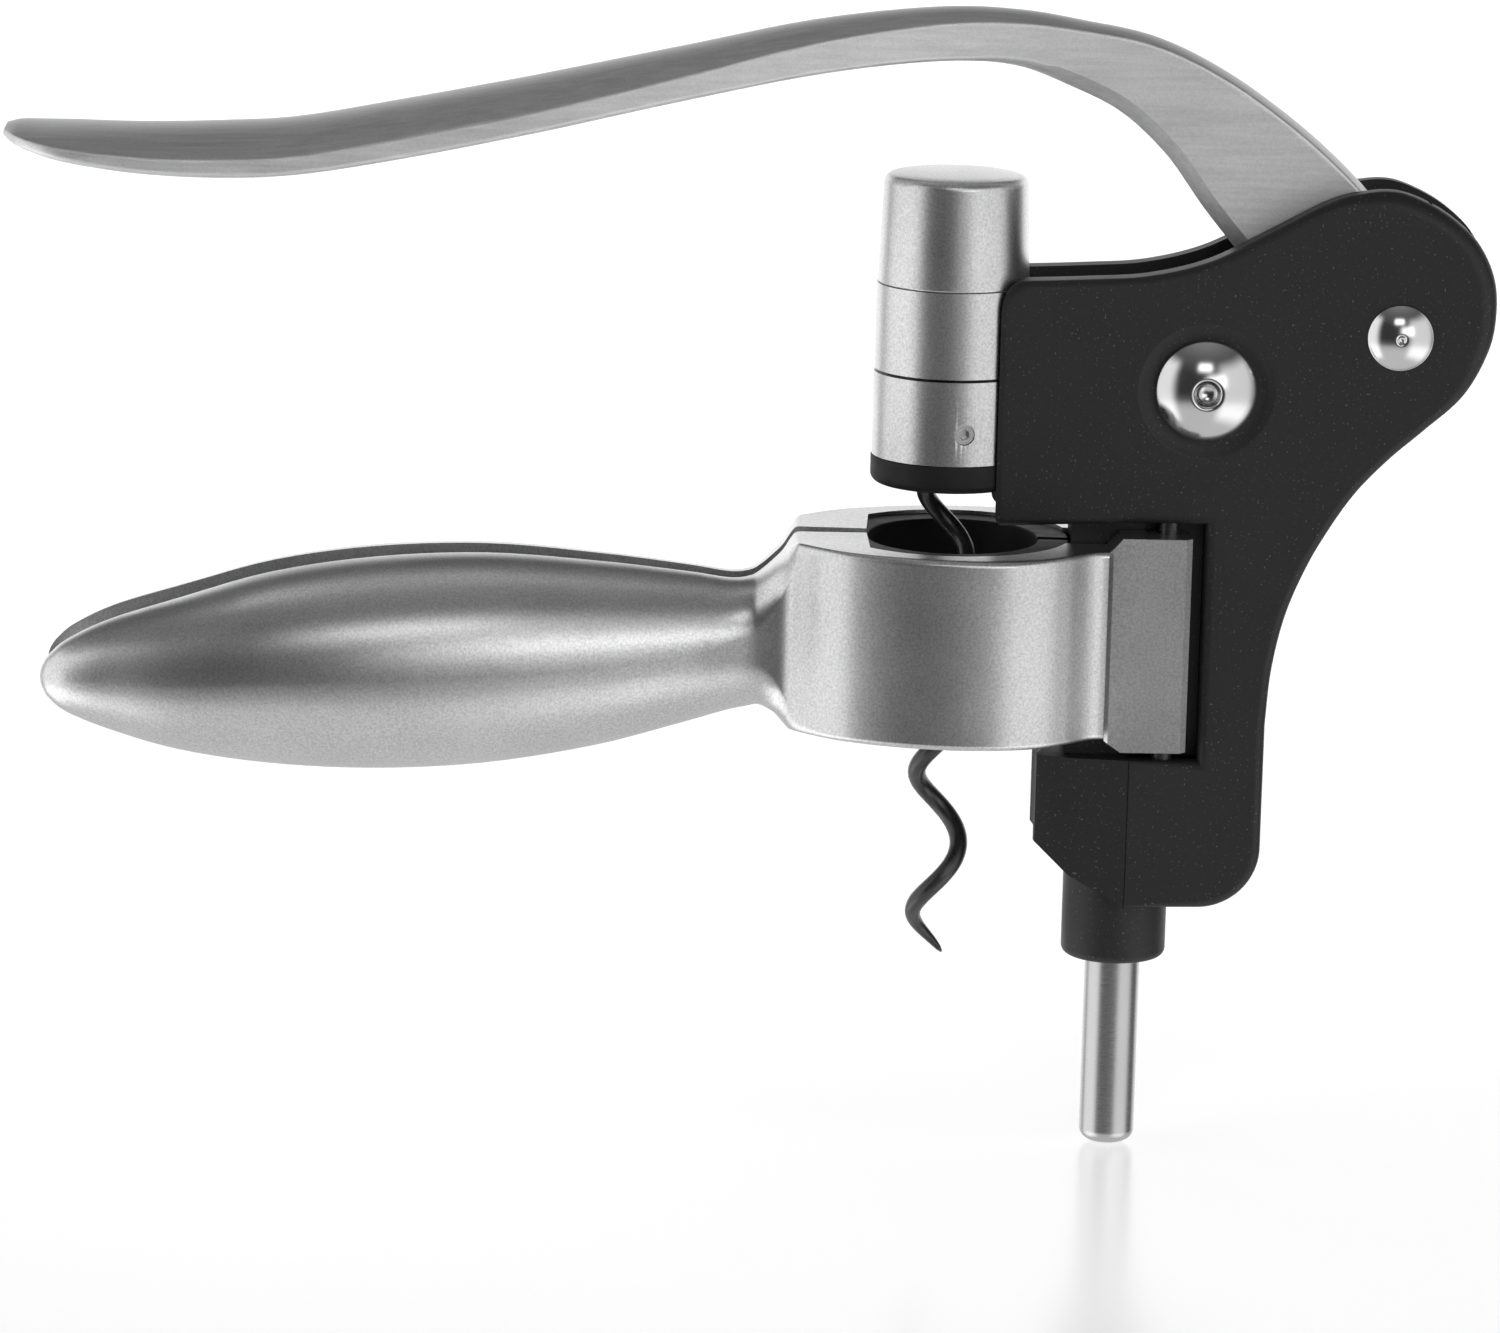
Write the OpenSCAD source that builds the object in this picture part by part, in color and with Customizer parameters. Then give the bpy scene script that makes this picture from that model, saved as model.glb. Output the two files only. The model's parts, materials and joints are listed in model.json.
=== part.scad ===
// Lever corkscrew: a black body with two clamp handles, a guide rod and a lever that lifts the worm.
// Millimetres. X runs back from the worm's axis, Y away from the front side, Z up.
// The origin is on the worm's axis, at the level of the clamp collar's bottom face.

/* [Worm] */
// Distance that the worm advances in one turn
worm_pitch = 21; // [16:0.2:22]
// Diameter of the worm's wire
wire_d = 2.6; // [2.2:0.1:2.8]
// Radius of the wire's centreline about the worm's axis
worm_r = 3.2; // [2.6:0.1:3.3]
// Height of the worm's tip with the lever down
tip_z = -35.5; // [-36:0.5:-28]

/* [Rings on the worm's axis] */
// Radius of the stacked rings
ring_r = 11.1; // [10.6:0.1:11.3]
// Height of the nut disc's lower face
disc_z = 35; // [34:0.5:36]
// Height of the nut ring's lower face
nut_z = 39.1; // [38.5:0.1:39.5]
// Height of the carriage's lower face
carriage_z = 51.6; // [51.4:0.1:51.8]
// Height of the cap's lower face
cap_z = 64; // [63:0.5:65]
// Height of the cap's top
cap_top_z = 80.1; // [78:0.1:82]

/* [Clamp collar] */
// Height of the collar
collar_h = 27.5; // [25:0.5:28]
// Outer radius of the collar
collar_r = 21.7; // [21.5:0.1:22.5]
// Radius of the pocket that grips the bottle's lip
lip_r = 14.7; // [14:0.1:15]
// Radius of the hole through the liners' top lips
throat_r = 12.2; // [11.5:0.1:12.5]
// Height of the seat that meets the top of the bottle
seat_z = 12; // [10:0.5:14]
// How far each handle stands open at rest, in degrees
rest_open = 2; // [1:0.5:3]

/* [Handles] */
// Wall of the hollow handles
handle_wall = 1.7; // [1.4:0.1:2]
// Thickest point of one handle, outwards from the parting plane
handle_depth = 14.2; // [13:0.1:15]

/* [Body] */
// Width over the body's outer faces
body_w = 19.2; // [19:0.1:19.6]
// Thickness of a side shell
shell_t = 2.6; // [2.4:0.1:2.7]
// Distance from the worm's axis to the guide rod
rod_x = 26.2; // [26:0.1:26.4]
// Diameter of the guide rod
rod_d = 8; // [7.6:0.1:8]
// Height of the guide rod's lower end with the lever down
rod_bottom_z = -62.6; // [-64:0.2:-60]

/* [Lever] */
// Distance from the worm's axis to the lever's axle
axle_x = 63.5; // [63.4:0.1:63.6]
// Height of the lever's axle
axle_z = 59; // [58.9:0.1:59.1]
// Width of the lever's paddle
paddle_w = 27; // [25:0.5:28]

/* [Hidden] */
$fn = 64;

run = 0.05;                          // radial clearance of a running fit
half_w = body_w / 2;
inner_w = half_w - shell_t;          // half the room between the side shells
rod_r = rod_d / 2;
collar_x = 1.2;                      // the collar's centre, just behind the worm's axis
liner_r = 16.8;                      // outer radius of the liners
land_x = -11.7;                      // inner edge of the metal at the front of the collar's top

tab_x = 6.1;                         // front edge of the side shells
tab_z = 31.2;                        // bottom edge of the side shells' front part
tab_drop = 0.9;                      // how much lower that edge is at its front end
tab_r = 1.6;
recess_x = 36.9;                     // rear wall of the recess that the clamp blocks sit in
recess_z = -3.5;                     // floor of that recess
leg_x = 46.5;                        // rear face of the leg
leg_z = -25.2;                       // bottom of the leg
block_x = 27;                        // front edge of the side shells on the leg
prong_x = 13.9;                      // front of the leg's prongs
facet_x = 18.8;                      // edge between the two facets on each side of the leg's front
relief_r = ring_r + 0.4;             // room for the rings between the side shells
boss_z = -34.4;                      // bottom of the rod's boss
boss_r = 7.6;
boss_top = leg_z + 8;                // inside the leg's block
bush_r = rod_r + 0.7;
lower_bush_top = -4;
upper_bush_z = 15;
upper_bush_h = 12;
floor_t = 4;                         // floor of the upper body
hub_r = 9;                           // the lever's hub on its axle
rim_y = 5;                           // inner face of the rim that turns in beside the lever's neck

hinge_x = 31.8;                      // vertical pins of the clamp handles
hinge_y = 7.2;
hinge_r = 1.5;
knuckle_r = 3;
spine_front_w = 5.2;                 // half width of the spine round the guide rod
spine_rear_w = 4;
jaw_z0 = -1.6;                       // the clamp blocks stand a little proud of the collar
jaw_z1 = 29.6;
jaw_x = 23;
jaw_w = 12.6;
web_w = 11.9;                        // half width of the webs between the collar and the blocks

axle_r = 3;
screw_x = 36.2;                      // large screws that hold the side shells
screw_z = 50.6;
screw_r = 2.5;
well_r = 9.2;                        // shallow well round each large screw head
well_t = 0.8;

arm_t = 1.5;                         // half thickness of the lever's inner arm
arm_len = 29;                        // from the axle to the drive pin in the arm's end
arm_end_r = 3.8;
arm_down = 60;                       // angle of the arm below level with the lever down
lift = 2 * arm_len * sin(arm_down);  // travel of the carriage over the lever's whole swing
drive_r = 2;                         // drive pin, which runs in the slots of the carriage's tail
drive_x = axle_x - arm_len * cos(arm_down);
drive_z = axle_z - arm_len * sin(arm_down);
tail_y0 = 1.7;                       // inner and outer faces of the carriage's two tail plates
tail_y1 = 2.9;
slot_x0 = axle_x - arm_len - drive_r - 0.2;
slot_x1 = drive_x + drive_r + 0.2;
slot_h = 4.15;                       // half the height of the slots
tail_wall = 1.8;                     // metal left round the slots
tail_x = 31.9;                       // front edge of the tail plates behind the nut ring's arm
cavity_w = tail_y1 + 0.2;            // half width of the frame's inner room

chuck_r = 5;
grub_r = 1.5;                        // small radial screw in the nut ring
grub_turn = -80;
grub_z = 43.7;
worm_hole_r = worm_r + wire_d / 2 + 0.3;

steel = "lightgray";
satin = "silver";
black = [0.09, 0.09, 0.1];

// ---- curves ----

// A point on the smooth curve through b and c, with neighbours a and d
function blend4(a, b, c, d, t) =
    0.5 * (2 * b + (c - a) * t + (2 * a - 5 * b + 4 * c - d) * t * t
           + (3 * b - a - 3 * c + d) * t * t * t);

// A smooth curve through the points p, with n steps between each two
function curve(p, n) = [
    for (i = [0 : len(p) - 2])
    for (k = [0 : n - 1])
    blend4(p[max(i - 1, 0)], p[i], p[i + 1], p[min(i + 2, len(p) - 1)], k / n),
    p[len(p) - 1]
];

// Points on an arc about c, from angle a0 to angle a1
function arc(c, r, a0, a1, n) = [
    for (k = [0 : n]) let (a = a0 + (a1 - a0) * k / n) c + r * [cos(a), sin(a)]
];

function reversed(p) = [for (k = [0 : len(p) - 1]) p[len(p) - 1 - k]];

// A closed solid through rings of points, all of the same length
module loft(rings) {
    n = len(rings[0]);
    last = len(rings) - 1;
    points = [for (r = rings) for (p = r) p];
    sides = [
        for (i = [0 : last - 1])
        for (k = [0 : n - 1])
        let (a = i * n + k, b = i * n + (k + 1) % n)
        each [[a, b, b + n], [a, b + n, a + n]]
    ];
    starts = [for (k = [1 : n - 2]) [0, k + 1, k]];
    ends = [for (k = [1 : n - 2]) [last * n, last * n + k, last * n + k + 1]];
    polyhedron(points, concat(sides, starts, ends), convexity = 6);
}

// ---- helpers ----

// A plate with an outline in X and Z, from y0 to y1
module plate(y0, y1) {
    translate([0, y1, 0]) rotate([90, 0, 0]) linear_extrude(y1 - y0) children();
}

// The same plate on both sides of the middle plane
module both_sides(y0, y1) {
    plate(y0, y1) children();
    plate(-y1, -y0) children();
}

// A rod along Y
module cross_rod(x, z, r, y0, y1) {
    translate([x, y0, z]) rotate([-90, 0, 0]) cylinder(r = r, h = y1 - y0);
}

// A rod along Z
module upright(x, y, r, z0, z1) {
    translate([x, y, z0]) cylinder(r = r, h = z1 - z0);
}

// A low domed head that stands on the plane z = 0
module dome(r, h) {
    ball_r = (r * r + h * h) / (2 * h);
    edge = asin(r / ball_r);
    rotate_extrude()
        polygon(concat([[0, 0]], [
            for (k = [0 : 16]) ball_r * [sin(edge * (1 - k / 16)), cos(edge * (1 - k / 16))]
                + [0, h - ball_r]
        ]));
}

// Child 0 turned about a clamp handle's hinge pin, from shut to its resting angle
module opened(side) {
    translate([hinge_x, side * hinge_y, 0]) rotate(-side * rest_open)
        translate([-hinge_x, -side * hinge_y, 0]) children();
}

// ---- body ----

// Side view of the whole body
module side_outline() {
    top = [
        [tab_x + 4.9, 65.8], [19, 66.2], [27.6, 66.9], [36, 69.1], [44, 73.2], [52.7, 77.9],
        [57.5, 79.3], [62.5, 79.6], [67.5, 77.8], [71.5, 75.2], [74.6, 72], [76.7, 67.5],
        [77.2, 62.5], [76.3, 57], [73, 50.8],
        [67.5, 45.6], [62.7, 41.3], [58.2, 36.4], [54.6, 31], [51.4, 25], [48.7, 17.9],
        [47.1, 10], [leg_x, 2]
    ];
    polygon(concat(
        arc([tab_x + tab_r, tab_z - tab_drop + tab_r], tab_r, 270, 180, 4),
        arc([tab_x + 4.7, 61.1], 4.7, 180, 90, 6),
        curve(top, 3),
        arc([leg_x - 9, leg_z + 9], 9, 0, -90, 8),
        [[block_x, leg_z], [block_x, tab_z]]
    ));
}

// The recess for the clamp blocks, open to the front
module recess_outline() {
    polygon([
        [0, recess_z], [recess_x, recess_z], [recess_x, tab_z], [block_x, tab_z],
        [0, tab_z - 3 * tab_drop]
    ]);
}

// The rim round the lever's hub, which turns inwards beside the lever's neck
module rim_outline() {
    difference() {
        intersection() {
            side_outline();
            translate([57, 47]) square([30, 40]);
        }
        translate([axle_x, axle_z]) circle(hub_r + 2);
    }
}

module side_shell(side) {
    color(black)
    difference() {
        mirror([0, side < 0 ? 1 : 0, 0]) {
            plate(inner_w, half_w) difference() {
                side_outline();
                recess_outline();
            }
            plate(rim_y, inner_w + 0.1) rim_outline();
        }
        upright(0, 0, relief_r, tab_z - 3, 90);
        cross_rod(axle_x, axle_z, axle_r, -20, 20);
        cross_rod(screw_x, screw_z, screw_r, -20, 20);
        cross_rod(screw_x, screw_z, well_r, half_w - well_t, half_w + 1);
        cross_rod(screw_x, screw_z, well_r, -half_w - 1, -half_w + well_t);
        hinge_bores();
    }
}

// Blind holes for both hinge pins, above and below the recess
module hinge_bores() {
    for (side = [-1, 1]) upright(hinge_x, side * hinge_y, hinge_r, recess_z - 4, tab_z + 3.5);
}

// Plan view of the leg's front block, hollowed in front to clear the bottle's neck
module prong_plan() {
    difference() {
        polygon([
            [block_x, -half_w], [block_x, half_w], [facet_x, 8.7], [prong_x, 6.7],
            [prong_x - 2, 0], [prong_x, -6.7], [facet_x, -8.7]
        ]);
        circle(15);
    }
}

// Side view of the inner room that the lever's arm and the carriage's tail move in
module cavity_outline() {
    x0 = slot_x0 - tail_wall - 0.3;
    z0 = drive_z - slot_h - tail_wall - 0.4;
    polygon([
        [x0, z0], [drive_x + 0.4, z0], [slot_x1 + tail_wall + 0.4, z0 + 3.6],
        [drive_x + 6, drive_z], [drive_x + 11, drive_z + 6.7], [axle_x + 1, axle_z - 13],
        [axle_x + 12, axle_z - 6], [axle_x + 12, 90], [x0, 90]
    ]);
}

module frame() {
    color(black)
    difference() {
        union() {
            // leg behind and below the recess
            plate(-inner_w, inner_w) intersection() {
                side_outline();
                union() {
                    translate([recess_x, leg_z]) square([30, 43 - leg_z]);
                    translate([block_x, leg_z]) square([12, recess_z - leg_z]);
                }
            }
            // faceted front block with its slanting bottom
            intersection() {
                translate([0, 0, leg_z]) linear_extrude(recess_z - leg_z) prong_plan();
                plate(-half_w, half_w) polygon([
                    [block_x, leg_z], [block_x, recess_z], [prong_x - 1, recess_z],
                    [prong_x - 1, -15.5], [facet_x, -20.8]
                ]);
            }
            // boss round the guide rod
            translate([rod_x, 0, 0]) rotate_extrude() polygon(concat(
                [[0, boss_z], [0, boss_top], [boss_r, boss_top]],
                arc([boss_r - 1.2, boss_z + 1.2], 1.2, 0, -90, 6)
            ));
            // spine between the clamp blocks, hollowed in front to clear the liners
            difference() {
                translate([15, -spine_front_w, recess_z - 1])
                    cube([13.4, 2 * spine_front_w, tab_z - recess_z + 2]);
                upright(collar_x, 0, liner_r + 0.6, recess_z - 2, tab_z + 3);
            }
            translate([28, -spine_rear_w, recess_z - 1])
                cube([recess_x - 27, 2 * spine_rear_w, tab_z - recess_z + 2]);
            // floor of the upper body, which holds the hinge pins' top ends
            translate([rod_x - spine_front_w - 1, -inner_w, tab_z])
                cube([recess_x - rod_x + spine_front_w + 2, 2 * inner_w, floor_t]);
            // cheeks that carry the cover screws
            both_sides(cavity_w, inner_w) union() {
                translate([32.2, tab_z]) square([8, screw_z - tab_z]);
                translate([screw_x, screw_z]) circle(4);
            }
        }
        upright(rod_x, 0, bush_r, boss_z - 1, lower_bush_top);
        upright(rod_x, 0, rod_r + 0.3, lower_bush_top - 1, 60);
        upright(rod_x, 0, bush_r, upper_bush_z, upper_bush_z + upper_bush_h);
        plate(-cavity_w, cavity_w) cavity_outline();
        // room for the lever's hub
        cross_rod(axle_x, axle_z, hub_r + 0.5, -inner_w - 1, inner_w + 1);
        hinge_bores();
        cross_rod(screw_x, screw_z, screw_r, -20, 20);
    }
}

module rod_bush(z0, z1) {
    color("dimgray") difference() {
        upright(rod_x, 0, bush_r, z0, z1);
        upright(rod_x, 0, rod_r + run, z0 - 1, z1 + 1);
    }
}

module lever_axle() {
    head_r = 4.8;
    head_h = 2;
    color(steel) {
        cross_rod(axle_x, axle_z, axle_r - run, -half_w, half_w);
        for (side = [-1, 1]) translate([axle_x, side * half_w, axle_z])
            rotate([-side * 90, 0, 0]) difference() {
                dome(head_r, head_h);
                translate([0, 0, head_h]) sphere(0.7);
            }
    }
}

module axle_washers() {
    color("white") for (side = [-1, 1])
        difference() {
            translate([0, side * (inner_w - 0.2), 0]) cross_rod(axle_x, axle_z, 6.5, -0.2, 0.2);
            cross_rod(axle_x, axle_z, axle_r, -20, 20);
        }
}

module cover_screws() {
    head_r = 7.3;
    head_h = 3.2;
    socket_r = 1.9;
    color(steel) for (side = [-1, 1])
        translate([screw_x, side * (half_w - well_t), screw_z]) rotate([-side * 90, 0, 0])
            difference() {
                union() {
                    cylinder(r = head_r, h = 0.7);
                    translate([0, 0, 0.7]) dome(head_r, head_h);
                    translate([0, 0, cavity_w + 0.2 - half_w + well_t])
                        cylinder(r = screw_r, h = half_w - well_t - cavity_w);
                }
                translate([0, 0, head_h - 1.2]) cylinder(r = socket_r, h = 4);
            }
}

module hinge_pin(side) {
    color(steel) upright(hinge_x, side * hinge_y, hinge_r, recess_z - 4, tab_z + 3.5);
}

// ---- lever ----

// Stations along the lever: [x, z, depth, width, crown of the top face]
lever_stations = [
    [-135.8, 82.9, 0.8, 8, 0.5],
    [-134, 82.5, 1.4, 16, 1],
    [-131, 81.8, 1.8, 21.5, 1.5],
    [-126, 80.9, 2.2, 25.5, 2.2],
    [-116, 79.9, 2.6, paddle_w, 3],
    [-105, 79.7, 2.9, paddle_w, 3.5],
    [-94, 80.4, 3, paddle_w, 3.6],
    [-80, 82.9, 3.2, 26.6, 3.6],
    [-60, 87.2, 3.3, 25, 3.4],
    [-40, 92.1, 3.7, 21.6, 2.8],
    [-20, 96.8, 4.8, 16.8, 2.1],
    [-3, 99.2, 5.6, 12.8, 1.5],
    [8, 99.1, 6.4, 10.8, 1.1],
    [17, 97.1, 8.6, 9.6, 0.7],
    [26, 94.1, 11.2, 9.2, 0.6],
    [34.5, 88.6, 14.2, 9, 0.5],
    [42.3, 81.2, 17.6, 9, 0.5],
    [50, 73.4, 19, 9, 0.5],
    [57, 65.8, 18, 9, 0.5]
];

// One ring of the lever: flat bottom, straight sides and a crowned top, square to the curve
function lever_ring(before, here, after) =
    let (along = [after[0] - before[0], after[1] - before[1]],
         unit = along / norm(along),
         d = here[2] / 2,
         w = here[3] / 2,
         edge = min(0.35 * d, 1.2),
         section = concat(
             [[w - edge, -d], [w, -d + edge], [w, d - edge]],
             [for (k = [0 : 8]) let (s = 1 - k / 4)
                 [(w - edge * 0.6) * s, d + here[4] * (1 - s * s)]],
             [[-w, d - edge], [-w, -d + edge], [-w + edge, -d]]
         ))
    [for (p = reversed(section)) [here[0] - unit[1] * p[1], p[0], here[1] + unit[0] * p[1]]];

module lever() {
    path = curve(lever_stations, 3);
    last = len(path) - 1;
    rings = [for (i = [0 : last]) lever_ring(path[max(i - 1, 0)], path[i], path[min(i + 1, last)])];
    color(satin)
    difference() {
        union() {
            loft(rings);
            cross_rod(axle_x, axle_z, hub_r, -inner_w + 0.4, inner_w - 0.4);
            // inner arm that carries the drive pin
            translate([axle_x, 0, axle_z]) rotate([0, 180 - arm_down, 0]) plate(-arm_t, arm_t) {
                polygon([[4, -7.5], [arm_len, -arm_end_r], [arm_len, arm_end_r], [4, 7.5]]);
                translate([arm_len, 0]) circle(arm_end_r);
            }
        }
        cross_rod(axle_x, axle_z, axle_r, -20, 20);
        cross_rod(drive_x, drive_z, drive_r, -20, 20);
    }
}

module drive_pin() {
    color(steel) cross_rod(drive_x, drive_z, drive_r, -tail_y1, tail_y1);
}

// ---- carriage ----

module tail_outline() {
    x0 = slot_x0 - tail_wall;
    x1 = slot_x1 + tail_wall;
    z0 = drive_z - slot_h - tail_wall;
    z1 = drive_z + slot_h + tail_wall;
    difference() {
        polygon([
            [rod_x + rod_r + 0.2, carriage_z + 1], [rod_x + rod_r + 0.2, cap_z - 1], [34, cap_z - 1],
            [39.5, carriage_z], [39.5, z1 + 3], [x1 - 6, z1], [x1, z1], [x1, z0 + 3.6],
            [drive_x, z0], [x0, z0], [x0, z1], [tail_x, z1], [tail_x, carriage_z + 1]
        ]);
        translate([slot_x0, drive_z - slot_h]) square([slot_x1 - slot_x0, 2 * slot_h]);
    }
}

module carriage() {
    color(satin)
    difference() {
        union() {
            upright(0, 0, ring_r - 0.1, carriage_z, cap_z);
            // crosshead back to the guide rod
            translate([0, -inner_w + 0.5, carriage_z + 0.4]) cube([31.6, 2 * inner_w - 1, 11.4]);
            // tail plates with the slots that the drive pin moves in
            both_sides(tail_y0, tail_y1) tail_outline();
        }
        upright(0, 0, chuck_r + run, carriage_z - 1, 70);
        upright(0, 0, 8.6, cap_z - 2, 70);
        upright(rod_x, 0, rod_r, 40, 62.5);
        cross_rod(rod_x, 57.5, 1.25, -20, 20);
    }
}

module worm_cap() {
    base_r = 10.9;
    top_r = 10.3;
    edge = 1.5;
    color(satin)
    difference() {
        rotate_extrude() polygon(concat(
            [[0, cap_z], [base_r, cap_z]],
            arc([top_r - edge, cap_top_z - edge - 0.5], edge, 0, 80, 6),
            [[4, cap_top_z], [0, cap_top_z]]
        ));
        upright(0, 0, 8.6, cap_z - 1, 70);
    }
}

module guide_rod() {
    color(steel)
    difference() {
        translate([rod_x, 0, 0]) rotate_extrude() polygon(concat(
            [[0, rod_bottom_z]],
            arc([rod_r - 2, rod_bottom_z + 2], 2, -90, 0, 6),
            [[rod_r, 62.5], [0, 62.5]]
        ));
        cross_rod(rod_x, 57.5, 1.25, -20, 20);
    }
}

module rod_pin() {
    color(steel) cross_rod(rod_x, 57.5, 1.25, -inner_w + 0.5, inner_w - 0.5);
}

module thrust_washer() {
    color("goldenrod") difference() {
        upright(0, 0, 8.4, cap_z - 2, cap_z - 1.2);
        upright(0, 0, chuck_r + 0.3, cap_z - 3, cap_z);
    }
}

module thrust_ball() {
    color(steel) translate([0, 0, 67.5]) sphere(2.5);
}

// ---- worm ----

module worm() {
    turns_top = 53.5;                // the wire ends inside the chuck
    taper = 9;                       // length of the ground point
    steps = 16;                      // rings in one turn
    count = floor((turns_top - tip_z) / worm_pitch * steps);
    rings = [
        for (i = [0 : count])
        let (z = tip_z + (turns_top - tip_z) * i / count,
             a = 180 + (z - 34.1) * 360 / worm_pitch,
             t = min(1, 0.12 + 0.88 * sqrt(min(1, (z - tip_z) / taper))),
             r = wire_d / 2 * t,
             lean = atan2(worm_pitch, 360 * worm_r * PI / 180),
             centre = worm_r * (0.95 + 0.05 * min(1, (z - tip_z) / 4)))
        [for (k = [0 : 7])
            let (b = k * 45,
                 out = r * cos(b),
                 up = r * sin(b))
            [(centre + out) * cos(a) + up * sin(lean) * sin(a),
             (centre + out) * sin(a) - up * sin(lean) * cos(a),
             z + up * cos(lean)]]
    ];
    color([0.13, 0.13, 0.14]) loft(rings);
}

module worm_chuck() {
    color(steel) {
        upright(0, 0, chuck_r, 52, cap_z - 1.2);
        upright(0, 0, 8.2, cap_z - 1.2, 65);
    }
}

// ---- nut carriage ----

module nut_ring() {
    top_z = carriage_z - 0.4;
    color(satin)
    difference() {
        union() {
            upright(0, 0, ring_r, nut_z, top_z);
            translate([0, -inner_w + 0.6, nut_z + 1.2])
                cube([tail_x - 0.5, 2 * inner_w - 1.2, top_z - nut_z - 1.8]);
        }
        upright(0, 0, 7, nut_z + 0.9, top_z + 1);
        upright(0, 0, worm_hole_r, 30, 60);
        upright(rod_x, 0, rod_r + run, 30, 60);
        grub_bore(grub_r);
    }
}

// The radial hole of the small screw in the nut ring
module grub_bore(r) {
    rotate(grub_turn) translate([7, 0, grub_z]) rotate([0, 90, 0]) cylinder(r = r, h = 6);
}

module grub_screw() {
    color(steel) rotate(grub_turn) translate([7.2, 0, grub_z]) rotate([0, 90, 0])
        difference() {
            cylinder(r = grub_r, h = 3.6);
            translate([0, 0, 2.6]) cylinder(r = 0.8, h = 2, $fn = 6);
        }
}

module nut_insert() {
    color("goldenrod") difference() {
        upright(0, 0, 7, nut_z + 0.9, carriage_z - 1);
        upright(0, 0, worm_hole_r, 30, 60);
    }
}

module nut_disc() {
    edge = 1.3;
    color(black)
    difference() {
        rotate_extrude() polygon(concat(
            [[0, nut_z], [0, disc_z]],
            arc([ring_r + 0.1 - edge, disc_z + edge], edge, -90, 0, 6),
            [[ring_r + 0.1, nut_z]]
        ));
        upright(0, 0, worm_hole_r, 30, 60);
    }
}

// ---- clamp handles ----

// Stations along a handle: [x, top z, bottom z, depth, squareness]
handle_stations = [
    [-130, 5.4, 3.4, 0.8, 2],
    [-129, 7.3, 1.5, 2.4, 2],
    [-126, 9.9, -0.8, 4.4, 2],
    [-120, 12.9, -3.2, 7, 2],
    [-110, 16.2, -5.9, 10.4, 2],
    [-97, 20.2, -7.6, 13.1, 2],
    [-82, 22.7, -8.1, handle_depth, 2],
    [-66, 23.6, -7.1, handle_depth - 0.7, 2],
    [-50, 22.7, -4.3, 11.5, 2],
    [-37, 21.4, -0.6, 9.2, 2.1],
    [-28.5, 20.7, 2.1, 8, 2.3],
    [-25, 22.9, 2, 8.2, 2.6],
    [-23, 25.1, 0.6, 9, 3.2],
    [-21.5, collar_h - 0.2, 0.1, 10, 4],
    [-17.5, collar_h, 0, 13.4, 5],
    [-13.5, collar_h, 0, 15.6, 7]
];

// Half a rounded section on one side of the parting plane, with inset for the hollow
function handle_ring(s, side, inset) =
    let (zc = (s[1] + s[2]) / 2,
         h = (s[1] - s[2]) / 2 - inset,
         b = s[3] - inset)
    [for (k = [0 : 16])
        let (a = k * 180 / 16,
             c = cos(a),
             y = pow(sin(a), 2 / s[4]) * b,
             z = sign(c) * pow(abs(c), 2 / s[4]) * h)
        [s[0], side * (0.1 + (k == 0 || k == 16 ? 0 : y)), zc + z]];

function ring_for(side, ring) = side > 0 ? ring : reversed(ring);

module handle_shell(side) {
    path = curve(handle_stations, 2);
    hollow = [for (s = path) if (s[0] > -125 && s[0] < -31) s];
    difference() {
        loft([for (s = path) ring_for(side, handle_ring(s, side, 0))]);
        translate([0, -side * 0.2, 0])
            loft([for (s = hollow) ring_for(side, handle_ring(s, side, handle_wall))]);
    }
}

// Plan view of a clamp block with its rounded hinge knuckle, for the far side
module block_plan() {
    translate([jaw_x, spine_front_w + 0.25])
        square([hinge_x - knuckle_r - jaw_x, jaw_w - spine_front_w - 0.25]);
    translate([jaw_x, hinge_y]) square([hinge_x + knuckle_r - jaw_x, jaw_w - hinge_y]);
    translate([hinge_x, hinge_y]) circle(knuckle_r);
}

// Plan view of the web that joins a clamp block to the collar
module web_plan() {
    difference() {
        translate([14, spine_front_w + 0.25]) square([jaw_x - 13, web_w - spine_front_w - 0.25]);
        translate([collar_x, 0]) circle(collar_r - 1);
    }
}

module handle(side) {
    color(satin)
    opened(side) {
        difference() {
            union() {
                handle_shell(side);
                intersection() {
                    upright(collar_x, 0, collar_r, 0, collar_h);
                    translate([-30, side < 0 ? -30.1 : 0.1, -1]) cube([60, 30, 40]);
                }
                mirror([0, side < 0 ? 1 : 0, 0]) {
                    difference() {
                        translate([0, 0, jaw_z0]) linear_extrude(jaw_z1 - jaw_z0) block_plan();
                        plate(0, 20) polygon([[jaw_x - 1, collar_h], [jaw_x, collar_h], [jaw_x + 1.8, jaw_z1],
                            [jaw_x + 1.8, jaw_z1 + 1], [jaw_x - 1, jaw_z1 + 1]]);
                        plate(0, 20) polygon([[jaw_x - 1, 0], [jaw_x, 0], [jaw_x + 2.4, jaw_z0],
                            [jaw_x + 2.4, jaw_z0 - 1], [jaw_x - 1, jaw_z0 - 1]]);
                    }
                    linear_extrude(collar_h) web_plan();
                }
            }
            // pocket of the liner, with metal left across the front of its top
            upright(collar_x, 0, liner_r, -3, seat_z);
            difference() {
                upright(collar_x, 0, liner_r, seat_z - 1, 31);
                translate([-30, -30, seat_z - 2]) cube([30 + land_x, 60, 40]);
            }
            // opening at the rear for the spine
            translate([16.5, -spine_front_w - 0.25, -5]) cube([11, 2 * spine_front_w + 0.5, 40]);
            upright(hinge_x, side * hinge_y, hinge_r + run, -5, 40);
        }
    }
}

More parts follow.
